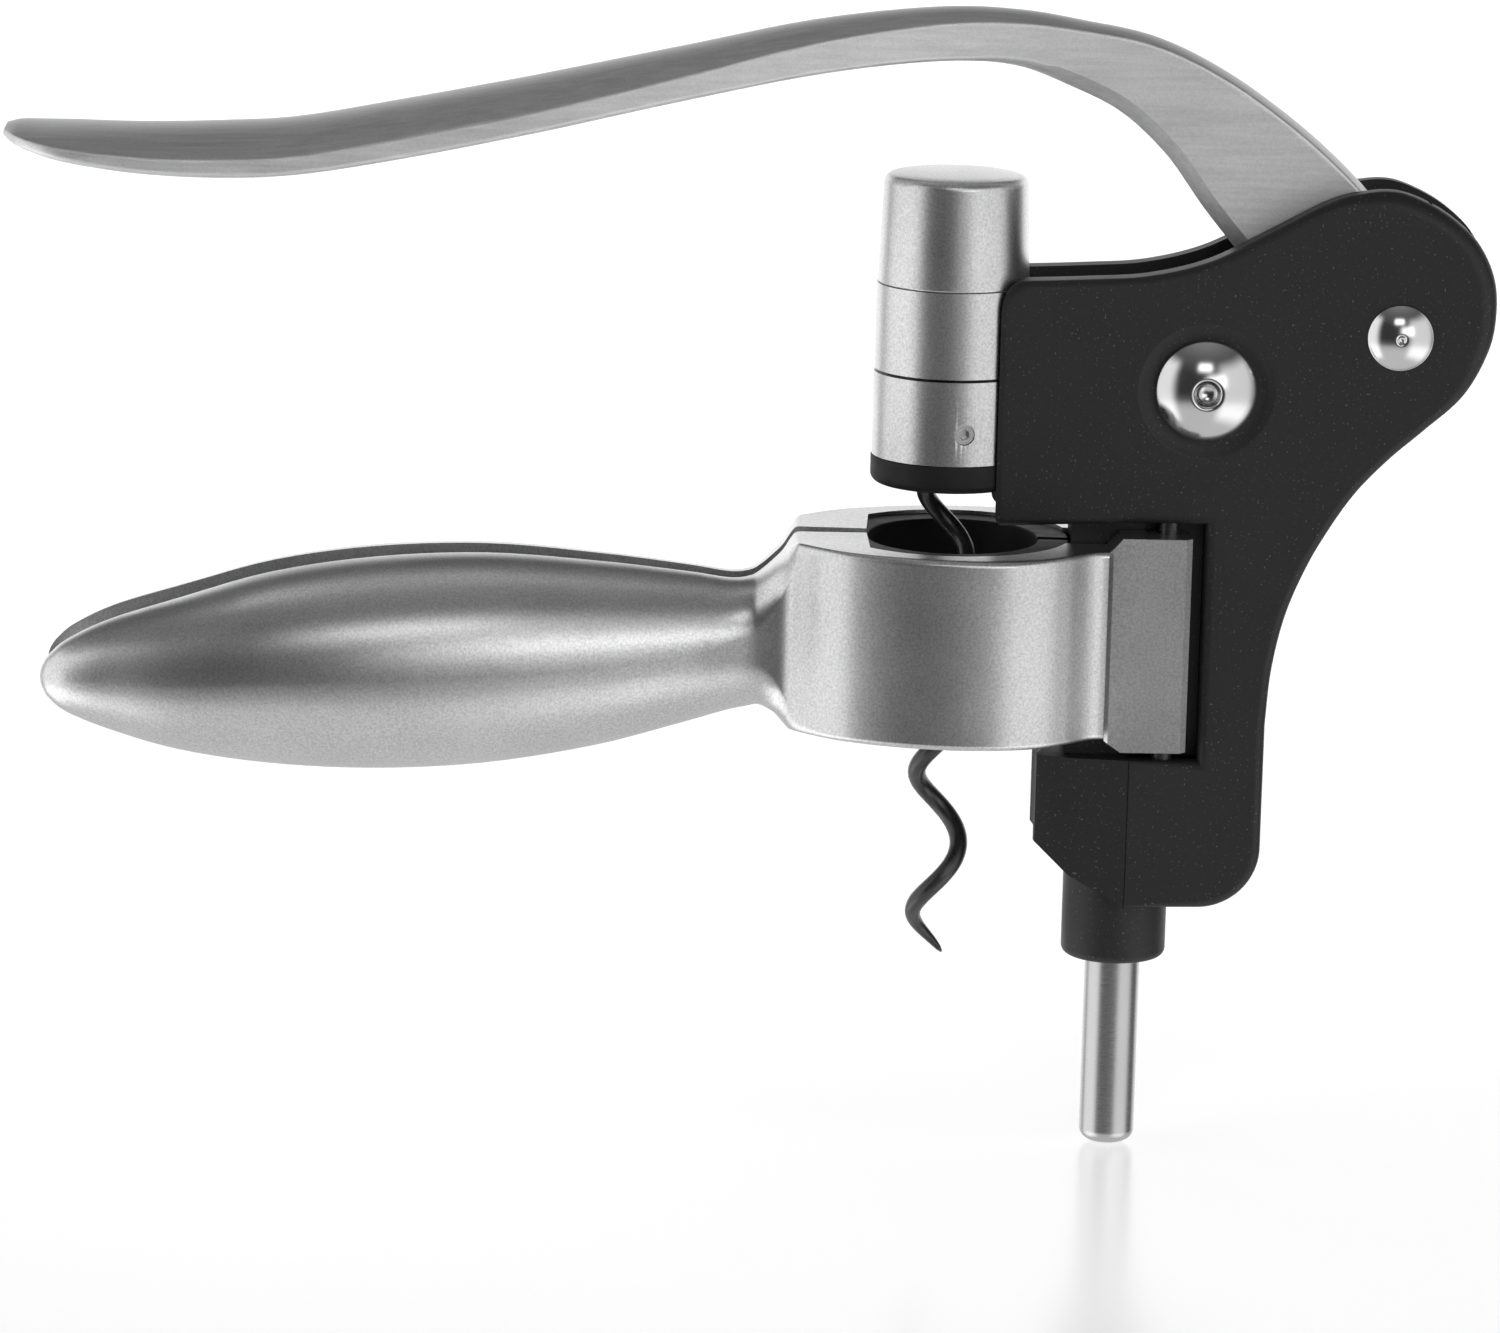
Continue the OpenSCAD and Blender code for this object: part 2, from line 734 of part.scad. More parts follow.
// Black liner that grips the bottle, with the lip that rests on the bottle's mouth
module liner(side) {
    color(black)
    opened(side)
    intersection() {
        translate([-30, side < 0 ? -30.1 : 0.1, -1]) cube([60, 30, 40]);
        difference() {
            union() {
                upright(collar_x, 0, liner_r, 0.6, seat_z);
                difference() {
                    upright(collar_x, 0, liner_r, seat_z - 1, collar_h - 0.5);
                    translate([-30, -30, seat_z]) cube([30 + land_x, 60, 40]);
                }
            }
            upright(collar_x, 0, lip_r, -1, seat_z);
            upright(collar_x, 0, throat_r, -1, 40);
        }
    }
}

frame();
side_shell(-1);  // side_shell_near
side_shell(1);  // side_shell_far
rod_bush(boss_z, lower_bush_top);  // rod_bush_lower
rod_bush(upper_bush_z, upper_bush_z + upper_bush_h);  // rod_bush_upper
lever_axle();
axle_washers();
cover_screws();
hinge_pin(-1);  // hinge_pin_near
hinge_pin(1);  // hinge_pin_far
lever();
carriage();
worm_cap();
guide_rod();
rod_pin();
drive_pin();
thrust_washer();
thrust_ball();
worm();
worm_chuck();
nut_ring();
nut_disc();
nut_insert();
grub_screw();
handle(-1);  // handle_near
handle(1);  // handle_far
liner(-1);  // liner_near
liner(1);  // liner_far
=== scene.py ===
"""Lever corkscrew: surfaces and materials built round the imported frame.

Lengths are in millimetres until mesh().
"""

import json
import math

import bmesh
import bpy
from mathutils import Matrix, Vector


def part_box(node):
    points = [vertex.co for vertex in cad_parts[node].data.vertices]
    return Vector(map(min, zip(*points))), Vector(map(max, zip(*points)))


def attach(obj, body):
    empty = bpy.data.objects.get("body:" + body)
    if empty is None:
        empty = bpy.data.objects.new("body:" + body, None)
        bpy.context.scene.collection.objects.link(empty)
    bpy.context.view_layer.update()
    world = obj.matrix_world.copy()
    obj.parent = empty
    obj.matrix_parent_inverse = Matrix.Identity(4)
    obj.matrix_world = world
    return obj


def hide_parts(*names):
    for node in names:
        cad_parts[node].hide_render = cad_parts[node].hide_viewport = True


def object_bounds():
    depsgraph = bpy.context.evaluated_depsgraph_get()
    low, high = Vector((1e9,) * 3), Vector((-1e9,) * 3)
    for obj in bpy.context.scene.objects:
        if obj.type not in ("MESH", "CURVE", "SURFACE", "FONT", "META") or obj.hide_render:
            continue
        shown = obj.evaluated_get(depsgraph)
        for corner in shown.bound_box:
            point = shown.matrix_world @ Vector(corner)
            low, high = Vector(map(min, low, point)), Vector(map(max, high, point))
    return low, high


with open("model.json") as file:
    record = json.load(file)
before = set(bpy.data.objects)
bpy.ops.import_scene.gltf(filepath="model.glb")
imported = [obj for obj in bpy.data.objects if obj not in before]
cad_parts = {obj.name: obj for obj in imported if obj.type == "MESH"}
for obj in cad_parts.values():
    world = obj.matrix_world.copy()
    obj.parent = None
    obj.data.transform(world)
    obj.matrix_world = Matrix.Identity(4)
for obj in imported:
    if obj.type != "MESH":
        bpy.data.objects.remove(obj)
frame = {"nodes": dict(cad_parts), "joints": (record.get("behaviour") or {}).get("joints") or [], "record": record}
CAD_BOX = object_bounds()
NODES = frame["nodes"]
JOINTS = {j["name"]: j for j in frame["joints"]}
MM = 0.001


# ---- places read from the frame, in millimetres ----

def box_mm(node):
    low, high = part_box(node)
    return low / MM, high / MM


AXLE = Vector(JOINTS["lever_swing"]["pos_m"]) / MM
HINGE_X, HINGE_Y = [abs(v) / MM for v in JOINTS["clamp_far_swing"]["pos_m"][:2]]
REST_OPEN = -JOINTS["clamp_far_swing"]["range_deg"][0]
SHELL_LOW, SHELL_HIGH = box_mm("side_shell_far")
HALF_W = SHELL_HIGH.y
INNER_W = SHELL_LOW.y
ROD_LOW, ROD_HIGH = box_mm("guide_rod")
ROD_X = (ROD_LOW.x + ROD_HIGH.x) / 2
SCREW_LOW, SCREW_HIGH = box_mm("cover_screws")
SCREW_X, SCREW_Z = (SCREW_LOW.x + SCREW_HIGH.x) / 2, (SCREW_LOW.z + SCREW_HIGH.z) / 2
PIN_LOW, PIN_HIGH = box_mm("drive_pin")
DRIVE_X, DRIVE_Z = (PIN_LOW.x + PIN_HIGH.x) / 2, (PIN_LOW.z + PIN_HIGH.z) / 2
FLOOR_Z = CAD_BOX[0][2]
SLOTS = {p["node"]: p["material_slot"] for p in frame["record"]["subparts"]}


# ---- curves ----

def blend4(a, b, c, d, t):
    """A point on the smooth curve through b and c, with neighbours a and d."""
    return [0.5 * (2 * q + (r - p) * t + (2 * p - 5 * q + 4 * r - s) * t * t
                   + (3 * q - p - 3 * r + s) * t ** 3)
            for p, q, r, s in zip(a, b, c, d)]


def curve(points, steps):
    """A smooth curve through the points, with that many steps between each two."""
    last = len(points) - 1
    out = []
    for i in range(last):
        near = points[max(i - 1, 0)], points[i], points[i + 1], points[min(i + 2, last)]
        out += [blend4(*near, k / steps) for k in range(steps)]
    return out + [list(points[last])]


def arc(x, z, r, start, stop, steps):
    """Points on an arc about (x, z), with angles in degrees."""
    turn = [math.radians(start + (stop - start) * k / steps) for k in range(steps + 1)]
    return [[x + r * math.cos(a), z + r * math.sin(a)] for a in turn]


# ---- meshes ----

def mesh(name, points, faces):
    """A new object from points in millimetres."""
    data = bpy.data.meshes.new(name)
    data.from_pydata([Vector(p) * MM for p in points], [], faces)
    obj = bpy.data.objects.new(name, data)
    bpy.context.scene.collection.objects.link(obj)
    tidy = bmesh.new()
    tidy.from_mesh(data)
    bmesh.ops.recalc_face_normals(tidy, faces=tidy.faces)
    tidy.to_mesh(data)
    tidy.free()
    return obj


def loft(name, rings):
    """A closed solid through rings of points, all of the same length."""
    n = len(rings[0])
    points = [p for ring in rings for p in ring]
    faces = [(i * n + k, i * n + (k + 1) % n, (i + 1) * n + (k + 1) % n, (i + 1) * n + k)
             for i in range(len(rings) - 1) for k in range(n)]
    faces += [tuple(range(n)), tuple(len(points) - 1 - k for k in range(n))]
    return mesh(name, points, faces)


def plate(name, outline, y0, y1):
    """An outline in X and Z, from y0 to y1."""
    return loft(name, [[(x, y, z) for x, z in outline] for y in (y0, y1)])


def upright(name, outline, z0, z1):
    """An outline in X and Y, from z0 to z1."""
    return loft(name, [[(x, y, z) for x, y in outline] for z in (z0, z1)])


def disc(x, y, r, steps=96):
    return arc(x, y, r, 0, 360 - 360 / steps, steps - 1)


def lathe(name, profile, steps=128, matrix=Matrix.Identity(4)):
    """A solid turned about Z from (radius, height) points, the first and last of them on the axis."""
    points, faces = [], []
    inner = profile[1:-1]
    for k in range(steps):
        a = 2 * math.pi * k / steps
        points += [(r * math.cos(a), r * math.sin(a), z) for r, z in inner]
    n = len(inner)
    points += [(0, 0, profile[0][1]), (0, 0, profile[-1][1])]
    for k in range(steps):
        here, there = k * n, (k + 1) % steps * n
        faces += [(here + i, here + i + 1, there + i + 1, there + i) for i in range(n - 1)]
        faces += [(len(points) - 2, here, there), (len(points) - 1, there + n - 1, here + n - 1)]
    return mesh(name, [matrix @ Vector(p) for p in points], faces)


def along_y(x, y, z, side):
    """Turns a lathe's +Z into the outward direction of one side of the body."""
    return Matrix.Translation((x, y, z)) @ Matrix.Rotation(math.radians(-90 * side), 4, "X")


def apply_modifiers(obj):
    """Replaces the mesh by what its modifiers make of it."""
    graph = bpy.context.evaluated_depsgraph_get()
    made = bpy.data.meshes.new_from_object(obj.evaluated_get(graph), depsgraph=graph)
    obj.modifiers.clear()
    old, obj.data = obj.data, made
    bpy.data.meshes.remove(old)


def combine(obj, tools, operation):
    """Cuts the tools from obj, or joins them to it, and removes them."""
    for tool in tools:
        step = obj.modifiers.new("combine", "BOOLEAN")
        step.operation = operation
        step.solver = "EXACT"
        step.object = tool
        apply_modifiers(obj)
        bpy.data.objects.remove(tool)
    return obj


def cut(obj, *tools):
    return combine(obj, tools, "DIFFERENCE")


def join(obj, *tools):
    return combine(obj, tools, "UNION")


def together(name, *parts):
    """One object that holds the parts' meshes, which stay separate solids."""
    work = bmesh.new()
    for part in parts:
        work.from_mesh(part.data)
        bpy.data.objects.remove(part)
    data = bpy.data.meshes.new(name)
    work.to_mesh(data)
    work.free()
    obj = bpy.data.objects.new(name, data)
    bpy.context.scene.collection.objects.link(obj)
    return obj


def merge_flat(obj, degrees=0.5):
    """Joins faces that lie in one plane, so that only the shape's own edges are left."""
    work = bmesh.new()
    work.from_mesh(obj.data)
    bmesh.ops.remove_doubles(work, verts=work.verts, dist=0.002 * MM)
    bmesh.ops.dissolve_degenerate(work, edges=work.edges, dist=0.002 * MM)
    bmesh.ops.dissolve_limit(work, angle_limit=math.radians(degrees), verts=work.verts, edges=work.edges)
    work.to_mesh(obj.data)
    work.free()


def soften(obj, width, degrees=32, segments=3, flat=True):
    """Rounds every edge sharper than the given angle, and shades the result smooth."""
    if flat:
        merge_flat(obj)
    if width:
        step = obj.modifiers.new("round", "BEVEL")
        step.width = width * MM
        step.segments = segments
        step.limit_method = "ANGLE"
        step.angle_limit = math.radians(degrees)
        step.use_clamp_overlap = True
        step.miter_outer = "MITER_ARC"
        apply_modifiers(obj)
    obj.data.shade_smooth()
    step = obj.modifiers.new("normals", "WEIGHTED_NORMAL")
    step.weight = 60
    step.keep_sharp = True
    apply_modifiers(obj)
    return obj


def copy_of(node, name):
    """A separate copy of a CAD node's mesh."""
    obj = bpy.data.objects.new(name, NODES[node].data.copy())
    bpy.context.scene.collection.objects.link(obj)
    return obj


# ---- materials ----

class Shader:
    """A material's nodes, all in the object's own coordinates."""

    def __init__(self, name):
        self.material = bpy.data.materials.new(name)
        self.material.use_nodes = True
        self.tree = self.material.node_tree
        self.bsdf = self.tree.nodes["Principled BSDF"]
        self.place = self.tree.nodes.new("ShaderNodeTexCoord").outputs["Object"]

    def link(self, source, target):
        self.tree.links.new(source, target)

    def noise(self, scale, detail=2.0, roughness=0.5, stretch=None):
        node = self.tree.nodes.new("ShaderNodeTexNoise")
        node.inputs["Scale"].default_value = scale
        node.inputs["Detail"].default_value = detail
        node.inputs["Roughness"].default_value = roughness
        source = self.place
        if stretch:
            mapping = self.tree.nodes.new("ShaderNodeMapping")
            mapping.inputs["Scale"].default_value = stretch
            self.link(source, mapping.inputs["Vector"])
            source = mapping.outputs["Vector"]
        self.link(source, node.inputs["Vector"])
        return node.outputs["Fac"]

    def ramp(self, source, stops):
        """Maps a value to greys or colours at the given places."""
        node = self.tree.nodes.new("ShaderNodeValToRGB")
        items = node.color_ramp.elements
        while len(items) < len(stops):
            items.new(0.5)
        for item, (place, tone) in zip(items, stops):
            item.position = place
            item.color = (tone, tone, tone, 1) if isinstance(tone, float) else (*tone, 1)
        self.link(source, node.inputs["Fac"])
        return node.outputs["Color"]

    def blend(self, first, second, share):
        """Mixes two values, with that share of the second."""
        node = self.tree.nodes.new("ShaderNodeMix")
        node.inputs["Factor"].default_value = share
        self.link(first, node.inputs["A"])
        self.link(second, node.inputs["B"])
        return node.outputs["Result"]

    def bump(self, sources, distances):
        """Stacks bumps, each with its own depth in metres."""
        normal = None
        for source, distance in zip(sources, distances):
            node = self.tree.nodes.new("ShaderNodeBump")
            node.inputs["Strength"].default_value = 1.0
            node.inputs["Distance"].default_value = distance
            self.link(source, node.inputs["Height"])
            if normal:
                self.link(normal, node.inputs["Normal"])
            normal = node.outputs["Normal"]
        self.link(normal, self.bsdf.inputs["Normal"])

    def set(self, **values):
        for key, value in values.items():
            self.bsdf.inputs[key.replace("_", " ")].default_value = value


def satin_alloy():
    """Nickel-plated casting with a fine blasted satin finish."""
    s = Shader("satin_alloy")
    s.set(Metallic=1.0)
    cloud = s.noise(35, 3)
    grain = s.noise(3000, 2, 0.6)
    s.link(s.ramp(s.blend(grain, cloud, 0.3), [(0.35, (0.50, 0.50, 0.505)), (0.65, (0.74, 0.74, 0.745))]),
           s.bsdf.inputs["Base Color"])
    s.link(s.ramp(s.noise(60, 4), [(0.25, 0.28), (0.75, 0.35)]), s.bsdf.inputs["Roughness"])
    s.bump([grain, s.noise(420, 2)], [0.000012, 0.000005])
    return s.material


def brushed_alloy():
    """The lever's finish: the same plating over fine lines that run along it."""
    s = Shader("brushed_alloy")
    s.set(Metallic=1.0)
    lines = s.noise(1400, 3, 0.6, (0.05, 1, 1))
    mixed = s.blend(lines, s.noise(3000, 2), 0.4)
    s.link(s.ramp(mixed, [(0.35, (0.66, 0.66, 0.665)), (0.65, (0.80, 0.80, 0.805))]),
           s.bsdf.inputs["Base Color"])
    s.link(s.ramp(lines, [(0.25, 0.46), (0.75, 0.56)]), s.bsdf.inputs["Roughness"])
    s.bump([lines, s.noise(3000, 2)], [0.000004, 0.000005])
    return s.material


def satin_steel():
    """Ground steel, with fine lines round the part."""
    s = Shader("satin_steel")
    s.set(Metallic=1.0)
    lines = s.noise(900, 3, 0.6, (1, 1, 14))
    s.link(s.ramp(s.noise(40, 2), [(0.3, (0.50, 0.50, 0.505)), (0.7, (0.56, 0.56, 0.565))]),
           s.bsdf.inputs["Base Color"])
    s.link(s.ramp(lines, [(0.25, 0.24), (0.75, 0.34)]), s.bsdf.inputs["Roughness"])
    s.bump([lines], [0.000004])
    return s.material


def polished_steel():
    s = Shader("polished_steel")
    s.set(Metallic=1.0)
    s.link(s.ramp(s.noise(90, 3), [(0.3, (0.60, 0.60, 0.60)), (0.7, (0.66, 0.66, 0.66))]),
           s.bsdf.inputs["Base Color"])
    s.link(s.ramp(s.noise(300, 4), [(0.3, 0.13), (0.75, 0.20)]), s.bsdf.inputs["Roughness"])
    s.bump([s.noise(1500, 2)], [0.0000015])
    return s.material


def black_body():
    """Soft-touch black with a very fine grain and scattered pale specks."""
    s = Shader("black_body")
    specks = s.noise(3000, 1, 0.4)
    s.link(s.ramp(specks, [(0.0, (0.013, 0.013, 0.0135)), (0.69, (0.017, 0.017, 0.0175)),
                           (0.78, (0.09, 0.09, 0.092))]), s.bsdf.inputs["Base Color"])
    s.link(s.ramp(s.noise(120, 4), [(0.3, 0.44), (0.7, 0.52)]), s.bsdf.inputs["Roughness"])
    s.bump([s.noise(2600, 3, 0.6), s.noise(160, 2)], [0.000012, 0.00001])
    s.set(Specular_IOR_Level=0.34)
    return s.material


def black_nylon():
    """Moulded black plastic with a soft sheen."""
    s = Shader("black_nylon")
    s.link(s.ramp(s.noise(200, 3), [(0.3, (0.006, 0.006, 0.0065)), (0.7, (0.011, 0.011, 0.0115))]),
           s.bsdf.inputs["Base Color"])
    s.link(s.ramp(s.noise(500, 3), [(0.3, 0.5), (0.7, 0.6)]), s.bsdf.inputs["Roughness"])
    s.bump([s.noise(1800, 2)], [0.000008])
    s.set(Specular_IOR_Level=0.25)
    return s.material


def black_coating():
    """Non-stick coating: satin black, slightly uneven."""
    s = Shader("black_coating")
    s.link(s.ramp(s.noise(400, 3), [(0.3, (0.014, 0.014, 0.015)), (0.7, (0.026, 0.026, 0.027))]),
           s.bsdf.inputs["Base Color"])
    s.link(s.ramp(s.noise(700, 3), [(0.3, 0.24), (0.7, 0.34)]), s.bsdf.inputs["Roughness"])
    s.bump([s.noise(1600, 3)], [0.000008])
    s.set(Specular_IOR_Level=0.6)
    return s.material


def bronze():
    s = Shader("bronze")
    s.set(Metallic=1.0)
    s.link(s.ramp(s.noise(900, 4), [(0.3, (0.45, 0.30, 0.14)), (0.7, (0.58, 0.40, 0.20))]),
           s.bsdf.inputs["Base Color"])
    s.link(s.ramp(s.noise(1200, 3), [(0.3, 0.35), (0.7, 0.5)]), s.bsdf.inputs["Roughness"])
    s.bump([s.noise(3000, 2)], [0.00001])
    return s.material


MATERIALS = {
    "satin_alloy": satin_alloy(),
    "brushed_alloy": brushed_alloy(),
    "satin_steel": satin_steel(),
    "polished_steel": polished_steel(),
    "black_body": black_body(),
    "black_nylon": black_nylon(),
    "black_coating": black_coating(),
    "bronze": bronze(),
}


def piece(obj, body, slot, *replaced):
    """Gives a finished piece its material, its body, and the CAD nodes that it stands for."""
    obj.data.materials.clear()
    obj.data.materials.append(MATERIALS[slot])
    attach(obj, body)
    if replaced:
        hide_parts(*replaced)
    return obj


# ---- body ----

THROUGH = (-20, 20)                    # Y from and to, for a cutter that goes through everything
TAB_X, TAB_Z, TAB_R, TAB_DROP = 6.1, 31.2, 1.6, 0.9
RECESS_X, RECESS_Z = 36.9, -3.5
LEG_X, LEG_Z, BLOCK_X = 46.5, -25.2, 27.0
CORNER_R, CORNER_Z = 4.7, 61.1         # the upper front corner
HEEL_R = 9                             # the lower back corner
WELL_DEPTH = 0.8
SCREW_SHANK_R, AXLE_BORE_R = 2.5, 3
RING_R, RELIEF_R = 11.1, 11.5
OUTER_EDGE, LOBE_EDGE, SEAM_EDGE = 1.4, 2.5, 0.3
LOBE_X, LOBE_Z = (50, 9), (48, 8)      # where the lobe's rounder edge starts, and over what length it grows
HUB_R, HUB_W = 9.0, 6.6
RIM_Y, RIM_R = 5.0, HUB_R + 2
RIM_FROM_X, RIM_FROM_Z = 57, 47        # the rim is only behind and above these


def side_outline():
    """The side view of a shell, with the recess for the clamp block."""
    top = [
        (TAB_X + 4.9, 65.8), (19, 66.2), (27.6, 66.9), (36, 69.1), (44, 73.2), (52.7, 77.9),
        (57.5, 79.3), (62.5, 79.6), (67.5, 77.8), (71.5, 75.2), (74.6, 72), (76.7, 67.5),
        (77.2, 62.5), (76.3, 57), (73, 50.8),
        (67.5, 45.6), (62.7, 41.3), (58.2, 36.4), (54.6, 31), (51.4, 25), (48.7, 17.9),
        (47.1, 10), (LEG_X, 2),
    ]
    outline = arc(TAB_X + TAB_R, TAB_Z - TAB_DROP + TAB_R, TAB_R, 270, 180, 8)
    outline += arc(TAB_X + CORNER_R, CORNER_Z, CORNER_R, 180, 90, 14)
    outline += curve(top, 8)[1:]
    outline += arc(LEG_X - HEEL_R, LEG_Z + HEEL_R, HEEL_R, 0, -90, 20)
    outline += [(BLOCK_X, LEG_Z), (BLOCK_X, RECESS_Z), (RECESS_X, RECESS_Z),
                (RECESS_X, TAB_Z), (BLOCK_X, TAB_Z)]
    return outline


def edge_radius(x, z):
    """How round a shell's outer edge is: rounder on the lobe behind the lever, sharp at the front block."""
    if x < BLOCK_X + 0.1 and z < RECESS_Z + 0.1:
        return SEAM_EDGE
    lobe = min(1, max(0, (x - LOBE_X[0]) / LOBE_X[1])) * min(1, max(0, (z - LOBE_Z[0]) / LOBE_Z[1]))
    return OUTER_EDGE + (LOBE_EDGE - OUTER_EDGE) * lobe


def inward(outline):
    """For each point of an outline that runs clockwise, the direction that moves it inwards by one."""
    out = []
    for k, here in enumerate(outline):
        before, here, after = Vector(outline[k - 1]), Vector(here), Vector(outline[(k + 1) % len(outline)])
        first, second = (here - before).normalized(), (after - here).normalized()
        n1, n2 = Vector((first.y, -first.x)), Vector((second.y, -second.x))
        out.append((n1 + n2) / (1 + n1.dot(n2)))
    return out


def make_shell(side):
    """A side shell: its rounded plate, the rim round the lever's hub, and the screw's well."""
    name = "shell_near_skin" if side < 0 else "shell_far_skin"
    outline = side_outline()
    moves = inward(outline)
    rings = [[(x, side * INNER_W, z) for x, z in outline]]
    for k in range(9):
        a = math.radians(90 * k / 8)
        ring = []
        for (x, z), move in zip(outline, moves):
            r = edge_radius(x, z)
            inset = r * (1 - math.cos(a))
            ring.append((x + move.x * inset, side * (HALF_W - r * (1 - math.sin(a))), z + move.y * inset))
        rings.append(ring)
    shell = loft(name, rings)
    # the rim round the lever's hub turns inwards beside the lever's neck
    rim_y0, rim_y1 = sorted((side * RIM_Y, side * (INNER_W + 0.1)))
    rim = plate("rim", side_outline(), rim_y0, rim_y1)
    inside = plate("inside", disc(AXLE.x, AXLE.z, RIM_R), *THROUGH)
    elsewhere = plate("elsewhere", [(0, -40), (90, -40), (90, RIM_FROM_Z), (RIM_FROM_X, RIM_FROM_Z),
                                    (RIM_FROM_X, 90), (0, 90)], *THROUGH)
    cut(rim, inside, elsewhere)
    join(shell, rim)
    relief = upright("relief", disc(0, 0, RELIEF_R), TAB_Z - 3, 90)
    # the well's floor, then its slope up to the shell's face and clear of it
    dish = [(0, -WELL_DEPTH), (7.6, -WELL_DEPTH), (8.3, -0.72), (8.9, -0.5), (9.5, -0.18), (10.1, 0.1),
            (10.6, 0.6), (10.6, 3), (0, 3)]
    well = lathe("well", dish, 96, along_y(SCREW_X, side * HALF_W, SCREW_Z, side))
    shank = plate("shank", disc(SCREW_X, SCREW_Z, SCREW_SHANK_R, 48), *THROUGH)
    pivot = plate("pivot", disc(AXLE.x, AXLE.z, AXLE_BORE_R, 48), *THROUGH)
    shell = cut(shell, relief, well, shank, pivot)
    soften(shell, 0.25, degrees=44, segments=2)
    piece(shell, "body", "black_body", "side_shell_near" if side < 0 else "side_shell_far")


def dome(r, h, steps):
    """Points down a low dome that stands on height 0, from its top to its rim."""
    ball = (r * r + h * h) / (2 * h)
    edge = math.asin(r / ball)
    turn = [edge * k / steps for k in range(steps + 1)]
    return [(ball * math.sin(a), ball * math.cos(a) + h - ball) for a in turn]


def make_axle():
    """The lever's axle, with a domed and centre-marked head on each end."""
    shank, face = 2.95, HALF_W
    head = [(r, face + z) for r, z in dome(4.8, 2.0, 24)[4:]]
    mark = [(0, face + 1.42), (0.3, face + 1.5), (0.55, face + 1.72), (0.75, face + 1.93)]
    under = [(4.78, face + 0.06), (4.6, face - 0.01), (shank, face - 0.01), (shank, 1)]
    half = mark + head[:-1] + under
    profile = half + [(r, -z) for r, z in reversed(half)]
    axle = lathe("axle_skin", profile, 96, along_y(AXLE.x, 0, AXLE.z, 1))
    soften(axle, 0, flat=False)
    piece(axle, "body", "polished_steel", "lever_axle")


def make_cover_screws():
    """The two large screws, with a round drive hole and a raised ring in each head."""
    r, h, socket, shank = 7.3, 3.2, 1.9, SCREW_SHANK_R
    screws = []
    for side in (-1, 1):
        domed = [(x, z + 0.5) for x, z in dome(r, h, 40) if x > socket + 0.5]
        rim = domed[0][1]
        length = HALF_W - WELL_DEPTH - 3.35
        hole = [(0, rim - 1.9), (socket - 0.5, rim - 1.9), (socket - 0.12, rim - 0.7), (socket, rim - 0.25),
                (socket + 0.12, rim - 0.06), (socket + 0.3, rim + 0.01)]
        under = [(r, 0.45), (r, 0.25), (r - 0.25, 0.01), (shank, 0.01), (shank, -length), (0, -length)]
        place = along_y(SCREW_X, side * (HALF_W - WELL_DEPTH), SCREW_Z, side)
        screws.append(lathe("screw", hole + domed[:-1] + under, 128, place))
    both = together("cover_screws_skin", *screws)
    soften(both, 0, flat=False)
    piece(both, "body", "polished_steel", "cover_screws")


make_shell(-1)
make_shell(1)
make_axle()
make_cover_screws()

# CAD shapes that only need their edges rounded: node, body, edge width, angle that counts as an edge
ROUNDED = [
    ("frame", "body", 0.45, 20),
    ("carriage", "carriage", 0.35, 32),
    ("nut_ring", "nut", 0.35, 32),
    ("liner_near", "clamp_near", 0.5, 32),
    ("liner_far", "clamp_far", 0.5, 32),
    ("worm_chuck", "worm", 0.3, 32),
    ("grub_screw", "nut", 0.12, 40),
]

for node, body, width, degrees in ROUNDED:
    skin = copy_of(node, node + "_skin")
    soften(skin, width, degrees)
    piece(skin, body, SLOTS[node], node)


# ---- turned parts ----

def turned(node, body, profile, x=0, y=0):
    skin = lathe(node + "_skin", profile, 160, Matrix.Translation((x, y, 0)))
    soften(skin, 0, flat=False)
    piece(skin, body, SLOTS[node], node)


def rounded_rod(r, z0, z1, low, high):
    """The profile of a rod, with its end edges rounded by low and high."""
    profile = [(0, z0)] + [(x, z) for x, z in arc(r - low, z0 + low, low, -90, 0, 10)]
    return profile + [(x, z) for x, z in arc(r - high, z1 - high, high, 0, 90, 8)] + [(0, z1)]


def make_turned():
    """The nut's disc, the cap and the guide rod."""
    disc_low, disc_high = box_mm("nut_disc")
    cap_low, cap_high = box_mm("worm_cap")
    # the disc has a hole that the worm hangs through
    r, hole = RING_R + 0.1, 4.8
    z0, z1 = disc_low.z, disc_high.z
    profile = [(hole, z1)] + arc(hole + 0.5, z0 + 0.5, 0.5, 180, 270, 6)
    profile += arc(r - 1.3, z0 + 1.3, 1.3, -90, 0, 10) + [(r, z1 - 0.2), (r - 0.2, z1), (hole, z1)]
    turned_ring("nut_disc", "nut", profile)
    # the cap tapers slightly and has a barely domed top
    base, top, edge = 10.9, 10.35, 1.3
    z0, z1 = cap_low.z, cap_high.z
    profile = [(0, z0 + 6), (8.6, z0 + 6), (8.6, z0), (base - 0.35, z0)]
    profile += arc(base - 0.35, z0 + 0.35, 0.35, -90, 0, 5)
    profile += arc(top - edge, z1 - edge - 0.4, edge, 2, 84, 12)
    profile += [(r, z1 - 0.28 * (r / 9.0) ** 2) for r in (8.4, 7, 5.5, 4, 2.5, 1)] + [(0, z1)]
    turned("worm_cap", "carriage", profile)
    turned("guide_rod", "carriage", rounded_rod(4, ROD_LOW.z, ROD_HIGH.z, 1.9, 0.4), ROD_X)


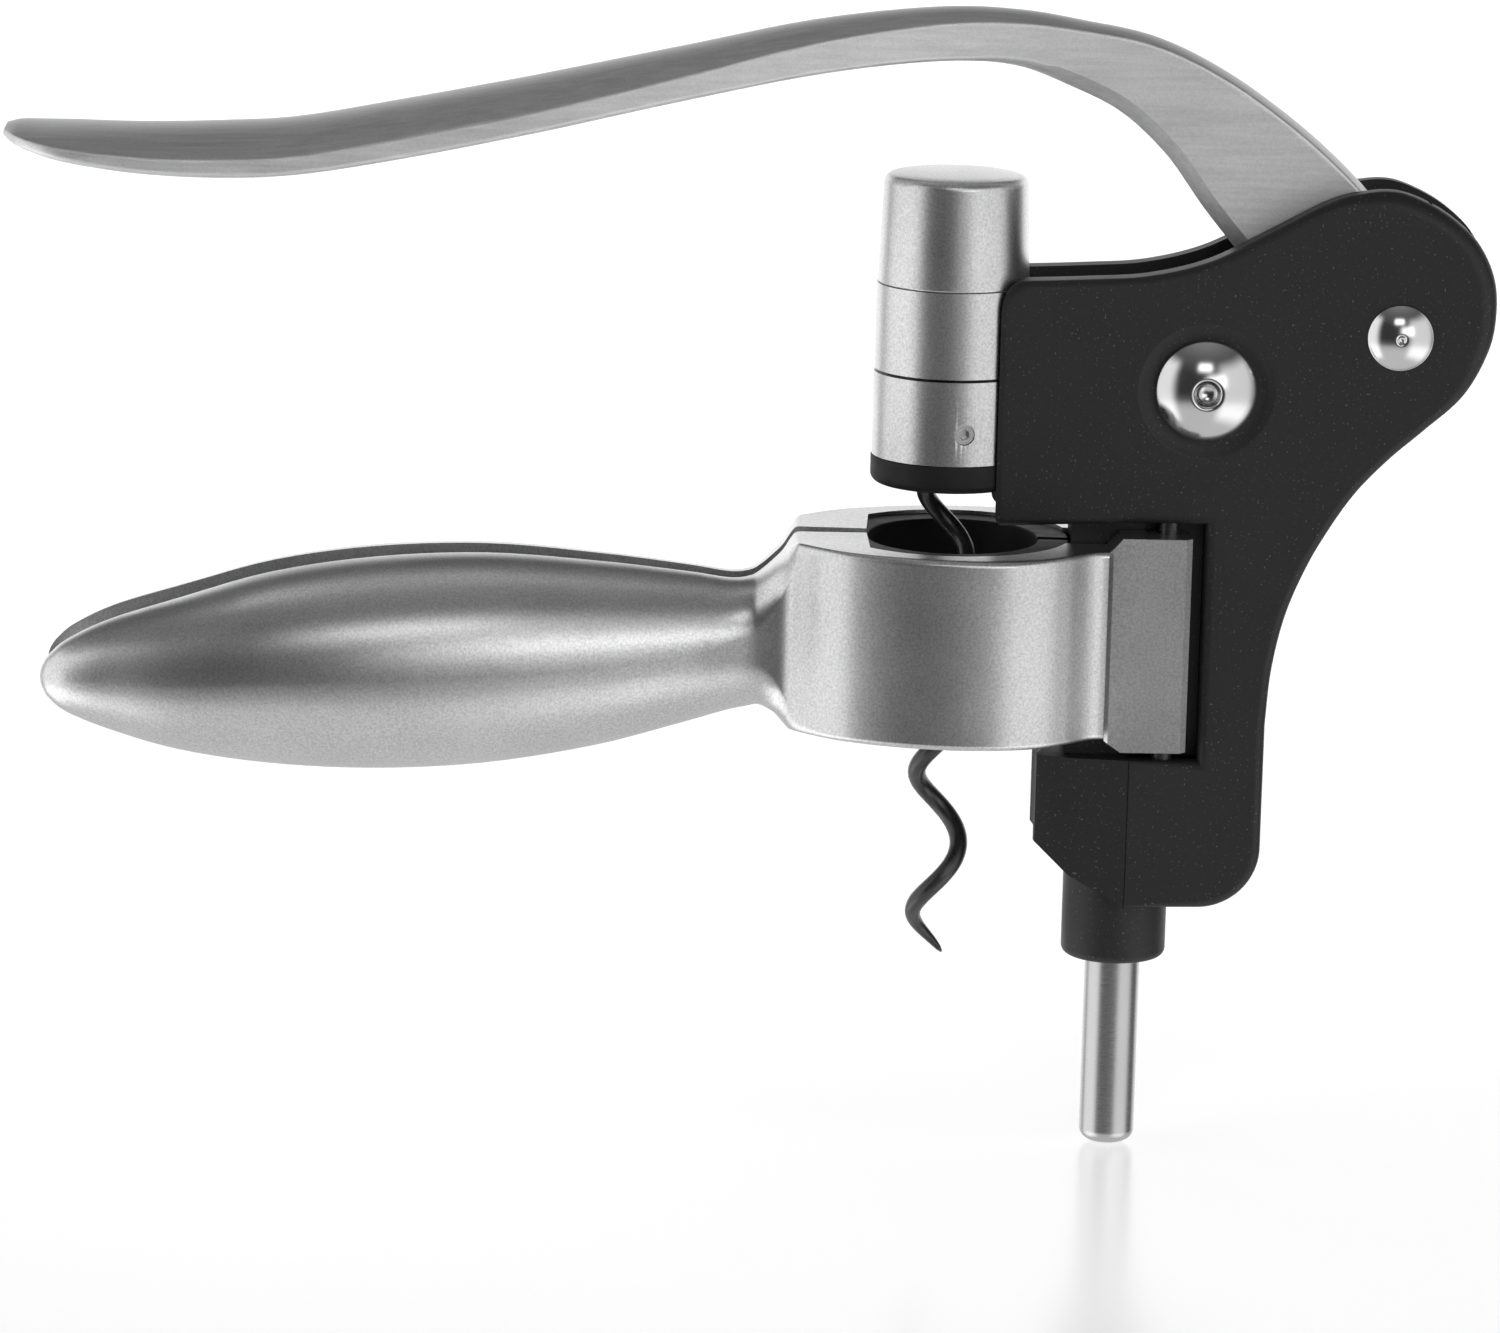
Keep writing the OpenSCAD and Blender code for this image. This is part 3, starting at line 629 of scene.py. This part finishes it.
def turned_ring(node, body, profile, steps=160):
    """A closed ring turned about Z; the profile's last point is its first."""
    ring = profile[:-1]
    rows = [[(r * math.cos(a), r * math.sin(a), z) for r, z in ring]
            for a in (2 * math.pi * k / steps for k in range(steps))]
    n = len(ring)
    faces = [(k * n + i, k * n + (i + 1) % n, (k + 1) % steps * n + (i + 1) % n, (k + 1) % steps * n + i)
             for k in range(steps) for i in range(n)]
    skin = mesh(node + "_skin", [p for row in rows for p in row], faces)
    soften(skin, 0, flat=False)
    piece(skin, body, SLOTS[node], node)


make_turned()


# ---- worm ----

PITCH, WIRE_R, HELIX_R = 21.0, 1.3, 3.2
WORM_TOP_Z = 53.5
LOW_FRONT_Z = 34.1                     # a height at which the wire is at its least X


def make_worm():
    """The worm's wire, swept along its helix and tapered to the tip."""
    taper, per_turn, sides = 9.0, 40, 20
    z0, z1 = box_mm("worm")[0].z, WORM_TOP_Z
    count = int((z1 - z0) / PITCH * per_turn)
    lean = math.atan2(PITCH, 2 * math.pi * HELIX_R)
    rings = []
    for i in range(count + 1):
        z = z0 + (z1 - z0) * i / count
        a = math.radians(180 + (z - LOW_FRONT_Z) * 360 / PITCH)
        thick = min(1, 0.1 + 0.9 * math.sqrt(min(1, (z - z0) / taper)))
        radius = WIRE_R * thick
        centre = HELIX_R * (0.95 + 0.05 * min(1, (z - z0) / 4))
        ring = []
        for k in range(sides):
            b = 2 * math.pi * k / sides
            out, up = centre + radius * math.cos(b), radius * math.sin(b)
            ring.append((out * math.cos(a) + up * math.sin(lean) * math.sin(a),
                         out * math.sin(a) - up * math.sin(lean) * math.cos(a),
                         z + up * math.cos(lean)))
        rings.append(ring)
    worm = loft("worm_skin", rings)
    soften(worm, 0, flat=False)
    piece(worm, "worm", "black_coating", "worm")


make_worm()


# ---- clamp handles ----

# Stations along one half: x, top z, bottom z, depth from the parting plane, and the share of the section that
# is rounded
CLAMP = [
    (-130.0, 5.2, 3.6, 0.6, 0.97),
    (-129.6, 6.3, 2.5, 1.5, 0.97),
    (-128.6, 7.7, 1.0, 2.7, 0.97),
    (-126, 9.9, -0.9, 4.5, 0.97),
    (-120, 12.9, -3.2, 7, 0.97),
    (-110, 16.2, -5.9, 10.4, 0.97),
    (-97, 20.2, -7.6, 13.1, 0.97),
    (-82, 22.7, -8.1, 14.2, 0.97),
    (-66, 23.6, -7.1, 13.5, 0.97),
    (-50, 22.7, -4.3, 11.5, 0.97),
    (-37, 21.4, -0.6, 9.2, 0.95),
    (-31, 20.6, 1.3, 8.3, 0.9),
    (-28, 20.9, 2.1, 7.9, 0.82),
    (-26.4, 21.8, 2.5, 7.9, 0.72),
    (-24.4, 23.6, 1.8, 8.2, 0.55),
    (-23.2, 24.9, 0.85, 8.6, 0.4),
    (-22.2, 26.5, 0.05, 9.2, 0.25),
    (-21.4, 27.4, 0.0, 9.9, 0.15),
    (-20, 27.5, 0.0, 11.2, 0.1),
    (-17.5, 27.5, 0.0, 13.6, 0.07),
    (-14, 27.5, 0.0, 16.2, 0.05),
    (-9, 27.5, 0.0, 18.6, 0.05),
    (-4, 27.5, 0.0, 20.2, 0.05),
    (2, 27.5, 0.0, 21.0, 0.05),
    (8, 27.5, 0.0, 20.6, 0.05),
    (13, 27.5, 0.0, 18.8, 0.05),
    (17, 27.5, 0.0, 15.9, 0.05),
    (20, 27.5, 0.0, 13.1, 0.05),
    (22.2, 27.5, 0.0, 11.9, 0.05),
    (26, 27.5, 0.0, 11.8, 0.05),
]
COLLAR_H = 27.5
COLLAR_X, LINER_R, SEAT_Z, LAND_X = 1.2, 16.8, 12.0, -11.7
JAW_X, JAW_Z, JAW_W = 23.0, (-1.6, 29.6), 12.6
UPPER_CHAMFER, LOWER_CHAMFER = 1.8, 2.4
SPINE_GAP = 5.2 + 0.25                 # half width of the spine, with the clearance beside it
HANDLE_WALL, HOLLOW_X = 1.7, (-125.5, -31)
HINGE_BORE_R = 1.55
TALL = (-5, 40)                        # Z from and to, for a cutter that goes through a clamp handle


def clamp_section(station, side, inset=0.0, start=0.1):
    """Half a rounded box on one side of the parting plane, going round from its top to its bottom."""
    x, top, bottom, depth, share = station
    middle, h, depth = (top + bottom) / 2, (top - bottom) / 2 - inset, depth - inset
    cy = max(depth * share, 0.9 if depth > 3 else 0.1)
    cz = max(h * share, 0.9 if h > 3 else 0.1)
    half = [(max(depth - cy, 0.01) * k / 4, h) for k in range(5)]
    half += [(depth - cy + cy * math.sin(a), h - cz + cz * math.cos(a))
             for a in (math.pi / 2 * k / 12 for k in range(1, 13))]
    half += [(depth, (h - cz) * (1 - k / 3)) for k in (1, 2)]
    ring = half + [(depth, 0)] + [(y, -z) for y, z in reversed(half)]
    return [(x, side * (start + y), middle + z) for y, z in ring]


def make_clamp(side):
    """A clamp handle with its half of the collar and its hinge block, opened as it stands at rest."""
    tag, body = ("near", "clamp_near") if side < 0 else ("far", "clamp_far")
    path = [[x, min(top, COLLAR_H), max(bottom, 0) if x > -23 else bottom, depth, share]
            for x, top, bottom, depth, share in curve(CLAMP, 5)]
    outer = loft(f"handle_{tag}_skin", [clamp_section(s, side) for s in path])
    hollow_path = [s for s in path if HOLLOW_X[0] < s[0] < HOLLOW_X[1]]
    hollow = loft("hollow", [clamp_section(s, side, HANDLE_WALL, -0.3) for s in hollow_path])
    far_block = [(JAW_X, SPINE_GAP), (28.8, SPINE_GAP), (28.8, HINGE_Y)]
    far_block += arc(HINGE_X, HINGE_Y, 3, 190, 360, 24)
    far_block += [(HINGE_X + 3, JAW_W - 0.9), (HINGE_X + 2.1, JAW_W)]
    far_block += [(JAW_X + 0.5, JAW_W), (JAW_X, JAW_W - 0.5)]
    block = upright("block", [(x, side * y) for x, y in far_block], *JAW_Z)
    upper = plate("upper", [(JAW_X - 1, COLLAR_H), (JAW_X, COLLAR_H), (JAW_X + UPPER_CHAMFER, JAW_Z[1]),
                            (JAW_X + UPPER_CHAMFER, JAW_Z[1] + 1), (JAW_X - 1, JAW_Z[1] + 1)], *THROUGH)
    lower = plate("lower", [(JAW_X - 1, 0), (JAW_X, 0), (JAW_X + LOWER_CHAMFER, JAW_Z[0]),
                            (JAW_X + LOWER_CHAMFER, JAW_Z[0] - 1), (JAW_X - 1, JAW_Z[0] - 1)], *THROUGH)
    cut(block, upper, lower)
    inside = upright("inside", disc(COLLAR_X, 0, LINER_R, 128), -3, SEAT_Z)
    above = upright("above", [(x, y) for x, y in disc(COLLAR_X, 0, LINER_R, 128) if x > LAND_X],
                    SEAT_Z - 1, 31)
    opening = upright("opening", [(14, -SPINE_GAP), (27.5, -SPINE_GAP),
                                  (27.5, SPINE_GAP), (14, SPINE_GAP)], *TALL)
    pin = upright("pin", disc(HINGE_X, side * HINGE_Y, HINGE_BORE_R, 48), *TALL)
    cut(outer, hollow)
    join(outer, block)
    cut(outer, inside, above, opening, pin)
    soften(outer, 0.45, 35)
    pivot = Matrix.Translation((HINGE_X * MM, side * HINGE_Y * MM, 0))
    outer.data.transform(pivot @ Matrix.Rotation(math.radians(-side * REST_OPEN), 4, "Z") @ pivot.inverted())
    piece(outer, body, "satin_alloy", f"handle_{tag}")


make_clamp(-1)
make_clamp(1)


# ---- lever ----

# Stations along the lever: x, z, depth, width, crown of the top face
LEVER = [
    (-135.8, 82.9, 0.8, 8, 0.5),
    (-134, 82.5, 1.4, 16, 1),
    (-131, 81.8, 1.8, 21.5, 1.5),
    (-126, 80.9, 2.2, 25.5, 2.2),
    (-116, 79.9, 2.6, 27, 3),
    (-105, 79.7, 2.9, 27, 3.5),
    (-94, 80.4, 3, 27, 3.6),
    (-80, 82.9, 3.2, 26.6, 3.6),
    (-60, 87.2, 3.3, 25, 3.4),
    (-40, 92.1, 3.7, 21.6, 2.8),
    (-20, 96.8, 4.8, 16.8, 2.1),
    (-3, 99.2, 5.6, 12.8, 1.5),
    (8, 99.1, 6.4, 10.8, 1.1),
    (17, 97.1, 8.6, 9.6, 0.7),
    (26, 94.1, 11.2, 9.2, 0.6),
    (34.5, 88.6, 14.2, 9, 0.5),
    (42.3, 81.2, 17.6, 9, 0.5),
    (50, 73.4, 19, 9, 0.5),
    (57, 65.8, 18, 9, 0.5),
]
ARM_T, ARM_END_R, ARM_ROOT = 1.5, 3.8, 7.5


def lever_section(depth, width, crown):
    """Flat below, straight sides, crowned above, with rounded corners: (across, up) points."""
    d, w = depth / 2, width / 2
    neck = min(1, max(0, (12 - width) / 2.5))
    e = min(0.45 * depth, 0.9 + 1.3 * neck)
    # the lower edge is round on the paddle and a flat chamfer on the neck
    low = [[x + neck * (w - e + e * k / 4 - x), z + neck * (-d + e * k / 4 - z)]
           for k, (x, z) in enumerate(arc(w - e, -d + e, e, -90, 0, 4))]
    e2 = min(0.45 * depth, 0.7)
    high = arc(w - e2, d - e2, e2, 0, 50, 4)
    edge_x, edge_z = high[-1]
    half = low + high
    top = []
    for k in range(1, 16):
        s = 1 - k / 8
        top.append([edge_x * s, edge_z + (d + crown - edge_z) * (1 - s * s)])
    return half + top + [[-x, z] for x, z in reversed(half)]


def make_lever():
    """The top lever, its hub on the axle, and the inner arm that moves the carriage."""
    path = curve(LEVER, 6)
    rings = []
    for i, here in enumerate(path):
        before, after = path[max(i - 1, 0)], path[min(i + 1, len(path) - 1)]
        along = Vector((after[0] - before[0], after[1] - before[1])).normalized()
        rings.append([(here[0] - along.y * up, across, here[1] + along.x * up)
                      for across, up in lever_section(*here[2:])])
    lever = loft("lever_skin", rings)
    reach = Vector((DRIVE_X - AXLE.x, DRIVE_Z - AXLE.z))
    length, turn = reach.length, math.atan2(reach.y, reach.x)
    outline = [(4, -ARM_ROOT), (length, -ARM_END_R)] + arc(length, 0, ARM_END_R, -80, 80, 16)
    outline += [(length, ARM_END_R), (4, ARM_ROOT)]
    outline = [(AXLE.x + x * math.cos(turn) - z * math.sin(turn),
                AXLE.z + x * math.sin(turn) + z * math.cos(turn))
               for x, z in outline]
    hub = plate("hub", disc(AXLE.x, AXLE.z, HUB_R), -HUB_W, HUB_W)
    arm = plate("arm", outline, -ARM_T, ARM_T)
    bore = plate("bore", disc(AXLE.x, AXLE.z, AXLE_BORE_R, 64), *THROUGH)
    pin_bore = plate("pin_bore", disc(DRIVE_X, DRIVE_Z, 2, 48), *THROUGH)
    join(lever, hub, arm)
    cut(lever, bore, pin_bore)
    soften(lever, 0.2, 40, 2)
    piece(lever, "lever", "satin_alloy", "lever")
    lever.data.materials[0] = MATERIALS["brushed_alloy"]


make_lever()


# ---- floor, light and camera ----

def make_stage():
    """A pale floor just under the guide rod."""
    size, z = 4000, FLOOR_Z / MM - 0.3
    corners = [(-size, -size, z), (size, -size, z), (size, size, z), (-size, size, z)]
    floor = mesh("floor", corners, [(0, 1, 2, 3)])
    s = Shader("floor")
    white = s.ramp(s.noise(3, 2), [(0.3, (0.84, 0.84, 0.84)), (0.7, (0.86, 0.86, 0.86))])
    s.link(white, s.bsdf.inputs["Base Color"])
    s.link(white, s.bsdf.inputs["Emission Color"])
    s.set(Emission_Strength=0.56)
    s.link(s.ramp(s.noise(8, 2), [(0.3, 0.20), (0.7, 0.24)]), s.bsdf.inputs["Roughness"])
    floor.data.materials.append(s.material)
    floor.visible_glossy = False       # metal reflects the studio below instead of the bright floor
    floor.visible_shadow = False


# Soft boxes round the object: azimuth from and to, elevation from and to, softness of the edges, brightness.
# Azimuth 0 is where the camera stands, and 90 is on the right.
SOFT_BOXES = [
    (-120, -54, -50, 38, 9, 1.15),
    (26, 86, -50, 36, 11, 0.9),
    (4, 34, 2, 22, 7, 1.9),
    (-14, 12, 30, 42, 5, 2.6),
    (128, 200, -20, 24, 12, 1.35),
    (-200, -132, -20, 24, 12, 1.35),
]
# The rest of the studio: elevation and brightness
STUDIO = [(-90, 0.72), (-38, 0.72), (-28, 0.6), (-18, 0.12), (-8, 0.04),
          (25, 0.05), (50, 0.13), (75, 0.27), (90, 0.32)]


def make_world():
    """A studio of soft boxes, described by direction."""
    world = bpy.data.worlds.new("studio")
    bpy.context.scene.world = world
    world.use_nodes = True
    tree = world.node_tree

    def math_node(operation, *values):
        node = tree.nodes.new("ShaderNodeMath")
        node.operation = operation
        for socket, value in zip(node.inputs, values):
            if isinstance(value, (int, float)):
                socket.default_value = value
            else:
                tree.links.new(value, socket)
        return node.outputs["Value"]

    def step(value, low, high):
        node = tree.nodes.new("ShaderNodeMapRange")
        node.interpolation_type = "SMOOTHSTEP"
        node.inputs["From Min"].default_value = low
        node.inputs["From Max"].default_value = high
        tree.links.new(value, node.inputs["Value"])
        return node.outputs["Result"]

    def band(value, low, high, soft):
        rise = step(value, low - soft, low + soft)
        return math_node("MULTIPLY", rise, step(value, high + soft, high - soft))

    split = tree.nodes.new("ShaderNodeSeparateXYZ")
    tree.links.new(tree.nodes.new("ShaderNodeTexCoord").outputs["Generated"], split.inputs["Vector"])
    x, y, z = split.outputs
    azimuth = math_node("DEGREES", math_node("ARCTAN2", x, math_node("MULTIPLY", y, -1)))
    elevation = math_node("DEGREES", math_node("ARCSINE", z))
    ramp = tree.nodes.new("ShaderNodeValToRGB")
    tree.links.new(math_node("DIVIDE", math_node("ADD", elevation, 90), 180), ramp.inputs["Fac"])
    items = ramp.color_ramp.elements
    while len(items) < len(STUDIO):
        items.new(0.5)
    for item, (angle, tone) in zip(items, STUDIO):
        item.position = (angle + 90) / 180
        item.color = (tone, tone, tone, 1)
    total = ramp.outputs["Color"]
    for left, right, low, high, soft, tone in SOFT_BOXES:
        box = math_node("MULTIPLY", band(azimuth, left, right, soft), band(elevation, low, high, soft))
        total = math_node("ADD", total, math_node("MULTIPLY", box, tone))
    tree.links.new(total, tree.nodes["Background"].inputs["Color"])


def make_camera():
    """A camera in front of the object and a little above it, turned slightly about its own axis."""
    distance, elevation, roll = 1.0, math.radians(12), math.radians(1.4)
    target = Vector((-27.8, 0, 7)) * MM
    data = bpy.data.cameras.new("camera")
    data.sensor_width = 36
    data.lens = 165.5
    data.clip_start = 0.05
    camera = bpy.data.objects.new("camera", data)
    place = target + distance * Vector((0, -math.cos(elevation), math.sin(elevation)))
    turn = (target - place).to_track_quat("-Z", "Y").to_matrix().to_4x4()
    camera.matrix_world = Matrix.Translation(place) @ turn @ Matrix.Rotation(roll, 4, "Z")
    bpy.context.scene.collection.objects.link(camera)
    bpy.context.scene.camera = camera


make_stage()
make_world()
make_camera()
bpy.context.scene.view_settings.view_transform = "Standard"

for node, obj in NODES.items():
    obj.data.materials.clear()
    obj.data.materials.append(MATERIALS[SLOTS[node]])
